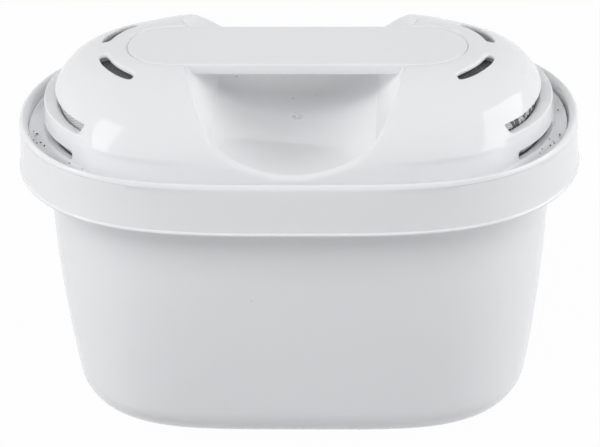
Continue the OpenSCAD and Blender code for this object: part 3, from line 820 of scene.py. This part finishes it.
# Plain weave: two sets of round threads that pass over and under each other, over carbon that shows between and
# through them where the bed presses on the cloth. Below one height the cloth turns dark with painted shade, and
# above another it darkens towards carbon, partly carbon behind it and partly painted shade of the deep slots.
def weaveGroup():
    tree, given, out = newGroup("plain weave", [
        ("Thread", "Color", (0.5, 0.5, 0.5, 1)), ("Carbon", "Color", (0.02, 0.02, 0.02, 1)), ("Pitch", "Float", 0.3),
        ("Loading", "Float", 0.3), ("Dark Above", "Float", 1.0), ("Dark Below", "Float", 0.0), ("Turn", "Vector", (0, 0, 0))],
        [("Colour", "Color"), ("Roughness", "Float"), ("Height", "Float")])
    at = place(tree)
    turned_ = addNode(tree, "Mapping", {"Vector": at, "Rotation": given["Turn"]}).outputs[0]
    xyz = addNode(tree, "SeparateXYZ", {0: turned_}).outputs
    phase = [maths(tree, "MULTIPLY", maths(tree, "DIVIDE", xyz[k], given["Pitch"]), math.pi / mm) for k in (0, 1)]
    warp, weft = (maths(tree, "ABSOLUTE", maths(tree, "SINE", f)) for f in phase)
    over = maths(tree, "MULTIPLY", maths(tree, "COSINE", phase[0]), maths(tree, "COSINE", phase[1]))
    height = maths(tree, "MAXIMUM", maths(tree, "MULTIPLY_ADD", over, 0.3, warp), maths(
        tree, "MULTIPLY_ADD", over, -0.3, weft))
    thread = between(tree, height, 0.55, 0.85)
    blot = noise(tree, at, 900.0, 2.0, 0.6)
    limit = maths(tree, "SUBTRACT", 0.72, maths(tree, "MULTIPLY", given["Loading"], 0.3))
    grain = between(tree, maths(tree, "SUBTRACT", blot, limit), 0.0, 0.04)
    high = addNode(tree, "SeparateXYZ", {0: at}).outputs[2]
    # partly carbon behind the cloth and partly painted shade of the deep upper slots: the cloth darkens above this
    # height
    above = between(tree, maths(tree, "SUBTRACT", high, maths(tree, "MULTIPLY", given["Dark Above"], mm)), 0.0, 0.002)
    # painted shade: the cloth turns to carbon colour below this height, where the foot slots' lower lips shade it
    below = between(tree, maths(tree, "SUBTRACT", maths(tree, "MULTIPLY", given["Dark Below"], mm), high), 0.0, 0.0002)
    dark = maths(tree, "MAXIMUM", maths(tree, "MULTIPLY", grain, 0.9), maths(tree, "MULTIPLY", above, 0.8))
    dark = maths(tree, "MAXIMUM", dark, maths(tree, "MULTIPLY", below, 0.95))
    cloth = mixColours(tree, thread, mixColours(tree, 0.55, given["Thread"], given["Carbon"]), given["Thread"])
    tree.links.new(mixColours(tree, dark, cloth, given["Carbon"]), out["Colour"])
    tree.links.new(maths(tree, "MULTIPLY_ADD", thread, -0.2, 0.75), out["Roughness"])
    tree.links.new(height, out["Height"])
    return tree


# Carbon granules: broken grains packed in cells, each with its own tone, pores in them, and painted shade in the gaps
# between them.
def granuleGroup():
    tree, given, out = newGroup("carbon granules", [
        ("Dark", "Color", (0.01, 0.01, 0.01, 1)), ("Light", "Color", (0.06, 0.06, 0.06, 1)), ("Size", "Float", 0.8)],
        [("Colour", "Color"), ("Roughness", "Float"), ("Height", "Float")])
    at = place(tree)
    scale = maths(tree, "DIVIDE", 1 / mm, given["Size"])
    cell = addNode(tree, "TexVoronoi", {"Vector": at, "Scale": scale})
    edge = addNode(tree, "TexVoronoi", {"Vector": at, "Scale": scale}, feature="DISTANCE_TO_EDGE")
    # painted shade: each grain darkens to the dark colour towards its cell's edge, in the gaps between the grains
    body = between(tree, edge.outputs["Distance"], 0.0, 0.22)
    pores = noise(tree, at, 4000.0, 3.0, 0.65)
    shade = addNode(tree, "SeparateColor", {0: cell.outputs["Color"]}).outputs[1]
    tone = maths(tree, "MULTIPLY", maths(tree, "MULTIPLY", shade, body), between(tree, pores, 0.25, 0.7))
    tree.links.new(mixColours(tree, tone, given["Dark"], given["Light"]), out["Colour"])
    tree.links.new(maths(tree, "MULTIPLY_ADD", shade, -0.35, 0.85), out["Roughness"])
    tree.links.new(maths(tree, "ADD", body, maths(tree, "MULTIPLY", pores, 0.3)), out["Height"])
    return tree


# Material with a group placed in it: its colour, roughness and bump feed the shader, and what is the same all over
# is set on the shader itself.
def finish(name, group, values, bump, **shaderValues):
    material = bpy.data.materials.new(name)
    material.use_nodes = True
    tree = material.node_tree
    shader = tree.nodes["Principled BSDF"]
    node = addNode(tree, "Group", node_tree=group)
    for key, value in values.items():
        node.inputs[key].default_value = value
    relief = addNode(tree, "Bump", {"Height": node.outputs["Height"], "Strength": bump[0], "Distance": bump[1] * mm})
    tree.links.new(node.outputs["Colour"], shader.inputs["Base Color"])
    tree.links.new(node.outputs["Roughness"], shader.inputs["Roughness"])
    tree.links.new(relief.outputs[0], shader.inputs["Normal"])
    for key, value in shaderValues.items():
        shader.inputs[key.replace("_", " ")].default_value = value
    return material


# What the camera and mirrors see as studio, from the light path: 1 for camera, glossy and transmission rays.
def seenDirectly(tree):
    path = addNode(tree, "LightPath").outputs
    seen = maths(tree, "MAXIMUM", path["Is Camera Ray"], path["Is Glossy Ray"])
    return maths(tree, "MAXIMUM", seen, path["Is Transmission Ray"])


# Floor: pale and matt, glowing white to the camera, so that only the object's shadow marks it.
def studioMaterial():
    material = bpy.data.materials.new("studio pale")
    material.use_nodes = True
    tree = material.node_tree
    shader = tree.nodes["Principled BSDF"]
    shader.inputs["Base Color"].default_value = (0.56, 0.56, 0.57, 1)
    shader.inputs["Roughness"].default_value = 0.9
    glow = addNode(tree, "Emission", {"Color": (1, 1, 1, 1), "Strength": 1.0})
    share = maths(tree, "MULTIPLY", seenDirectly(tree), studio["glow"])
    mix = addNode(tree, "MixShader", {0: share, 1: shader.outputs[0], 2: glow.outputs[0]})
    tree.links.new(mix.outputs[0], tree.nodes["Material Output"].inputs["Surface"])
    return material


def makeWorld():
    world = bpy.data.worlds.new("studio")
    bpy.context.scene.world = world
    world.use_nodes = True
    tree = world.node_tree
    strength = maths(tree, "MULTIPLY_ADD", seenDirectly(tree), 1.0 - studio["world"], studio["world"])
    ground = tree.nodes["Background"]
    ground.inputs["Color"].default_value = (1, 1, 1, 1)
    tree.links.new(strength, ground.inputs["Strength"])


cupPiece = makeCup()
print("cup", len(cupPiece.data.polygons))
coverPiece = makeCover()
print("cover before its slots:", len(coverPiece.data.polygons))
carveInlets(coverPiece)
gatePiece = makeGateMark(coverPiece)
print("cover", len(coverPiece.data.polygons))
barPiece = makeBar()
grainPiece = makeGrains()
screens = [makeInletScreen(-1), makeInletScreen(1), makeOutletScreen()]

skin, weave, granules = mouldedSkinGroup(), weaveGroup(), granuleGroup()
plastic = dict(Colour=(0.885, 0.89, 0.906, 1), Cloud=(0.868, 0.874, 0.893, 1), Gloss=0.045, Scratches=0.2, Dust=0.5)
soft = dict(Subsurface_Weight=0.12, Subsurface_Scale=0.002, Subsurface_Radius=(1.0, 0.95, 0.9), IOR=1.49)
coverFinish = finish("moulded cover white", skin, plastic, (0.12, 0.02), **soft)
cupFinish = finish("moulded cup white", skin, dict(plastic, Gloss=0.1, Scratches=0.3), (0.15, 0.02), **soft)
thread = dict(Thread=(0.66, 0.66, 0.67, 1), Carbon=(0.05, 0.05, 0.052, 1), Pitch=0.3)
# heights on the end cloths: above 66 mm the dark is partly carbon and partly painted shade of the upper slots, below
# 56.95 mm it is painted shade under the foot slots' lips
ends = {"Dark Above": 66.0, "Dark Below": 56.95}
leftCloth = finish("woven screen left", weave, {**thread, **ends, "Loading": 0.1,
                                                "Turn": (0, math.radians(-60), 0)}, (0.7, 0.08))
rightCloth = finish("woven screen right", weave, {**thread, **ends, "Loading": 0.75,
                                                  "Turn": (0, math.radians(60), 0)}, (0.7, 0.08))
outletCloth = finish("woven screen outlet", weave, {**thread, "Loading": 0.3, "Dark Above": 90.0}, (0.7, 0.08))
bedFinish = finish("carbon bed", granules, dict(Size=0.8), (0.9, 0.3))
grainFinish = finish("carbon grain", granules, dict(Size=0.15), (0.5, 0.05))

for piece, node, slotName, look in ((cupPiece, "cup", "cup_plastic", cupFinish),
                                    (coverPiece, "cover", "cover_plastic", coverFinish)):
    piece.data.materials.clear()
    piece.data.materials.append(look)
    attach(piece, "root")
    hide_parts(node)
    shadeByAngle(piece, 35)
creaseAcross(coverPiece, cover["floorHalf"])
for piece, slotName, look in ((barPiece, "cover_plastic", coverFinish), (gatePiece, "cover_plastic", coverFinish),
                              (grainPiece, "media", grainFinish)):
    piece.data.materials.append(look)
    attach(piece, "root")
for piece, node, look in zip(screens, ("inlet_screen_left", "inlet_screen_right", "outlet_screen"),
                             (leftCloth, rightCloth, outletCloth)):
    piece.data.materials.append(look)
    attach(piece, "root")
    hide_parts(node)
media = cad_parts["media_bed"]
media.data.materials.clear()
media.data.materials.append(bedFinish)
print("pieces finished and placed on the frame")

makeStudio()
makeCamera()
makeWorld()
for name, values in studio["lamps"].items():
    softbox(name, *values)
bpy.context.scene.view_settings.view_transform = "Standard"
print("studio and camera set")
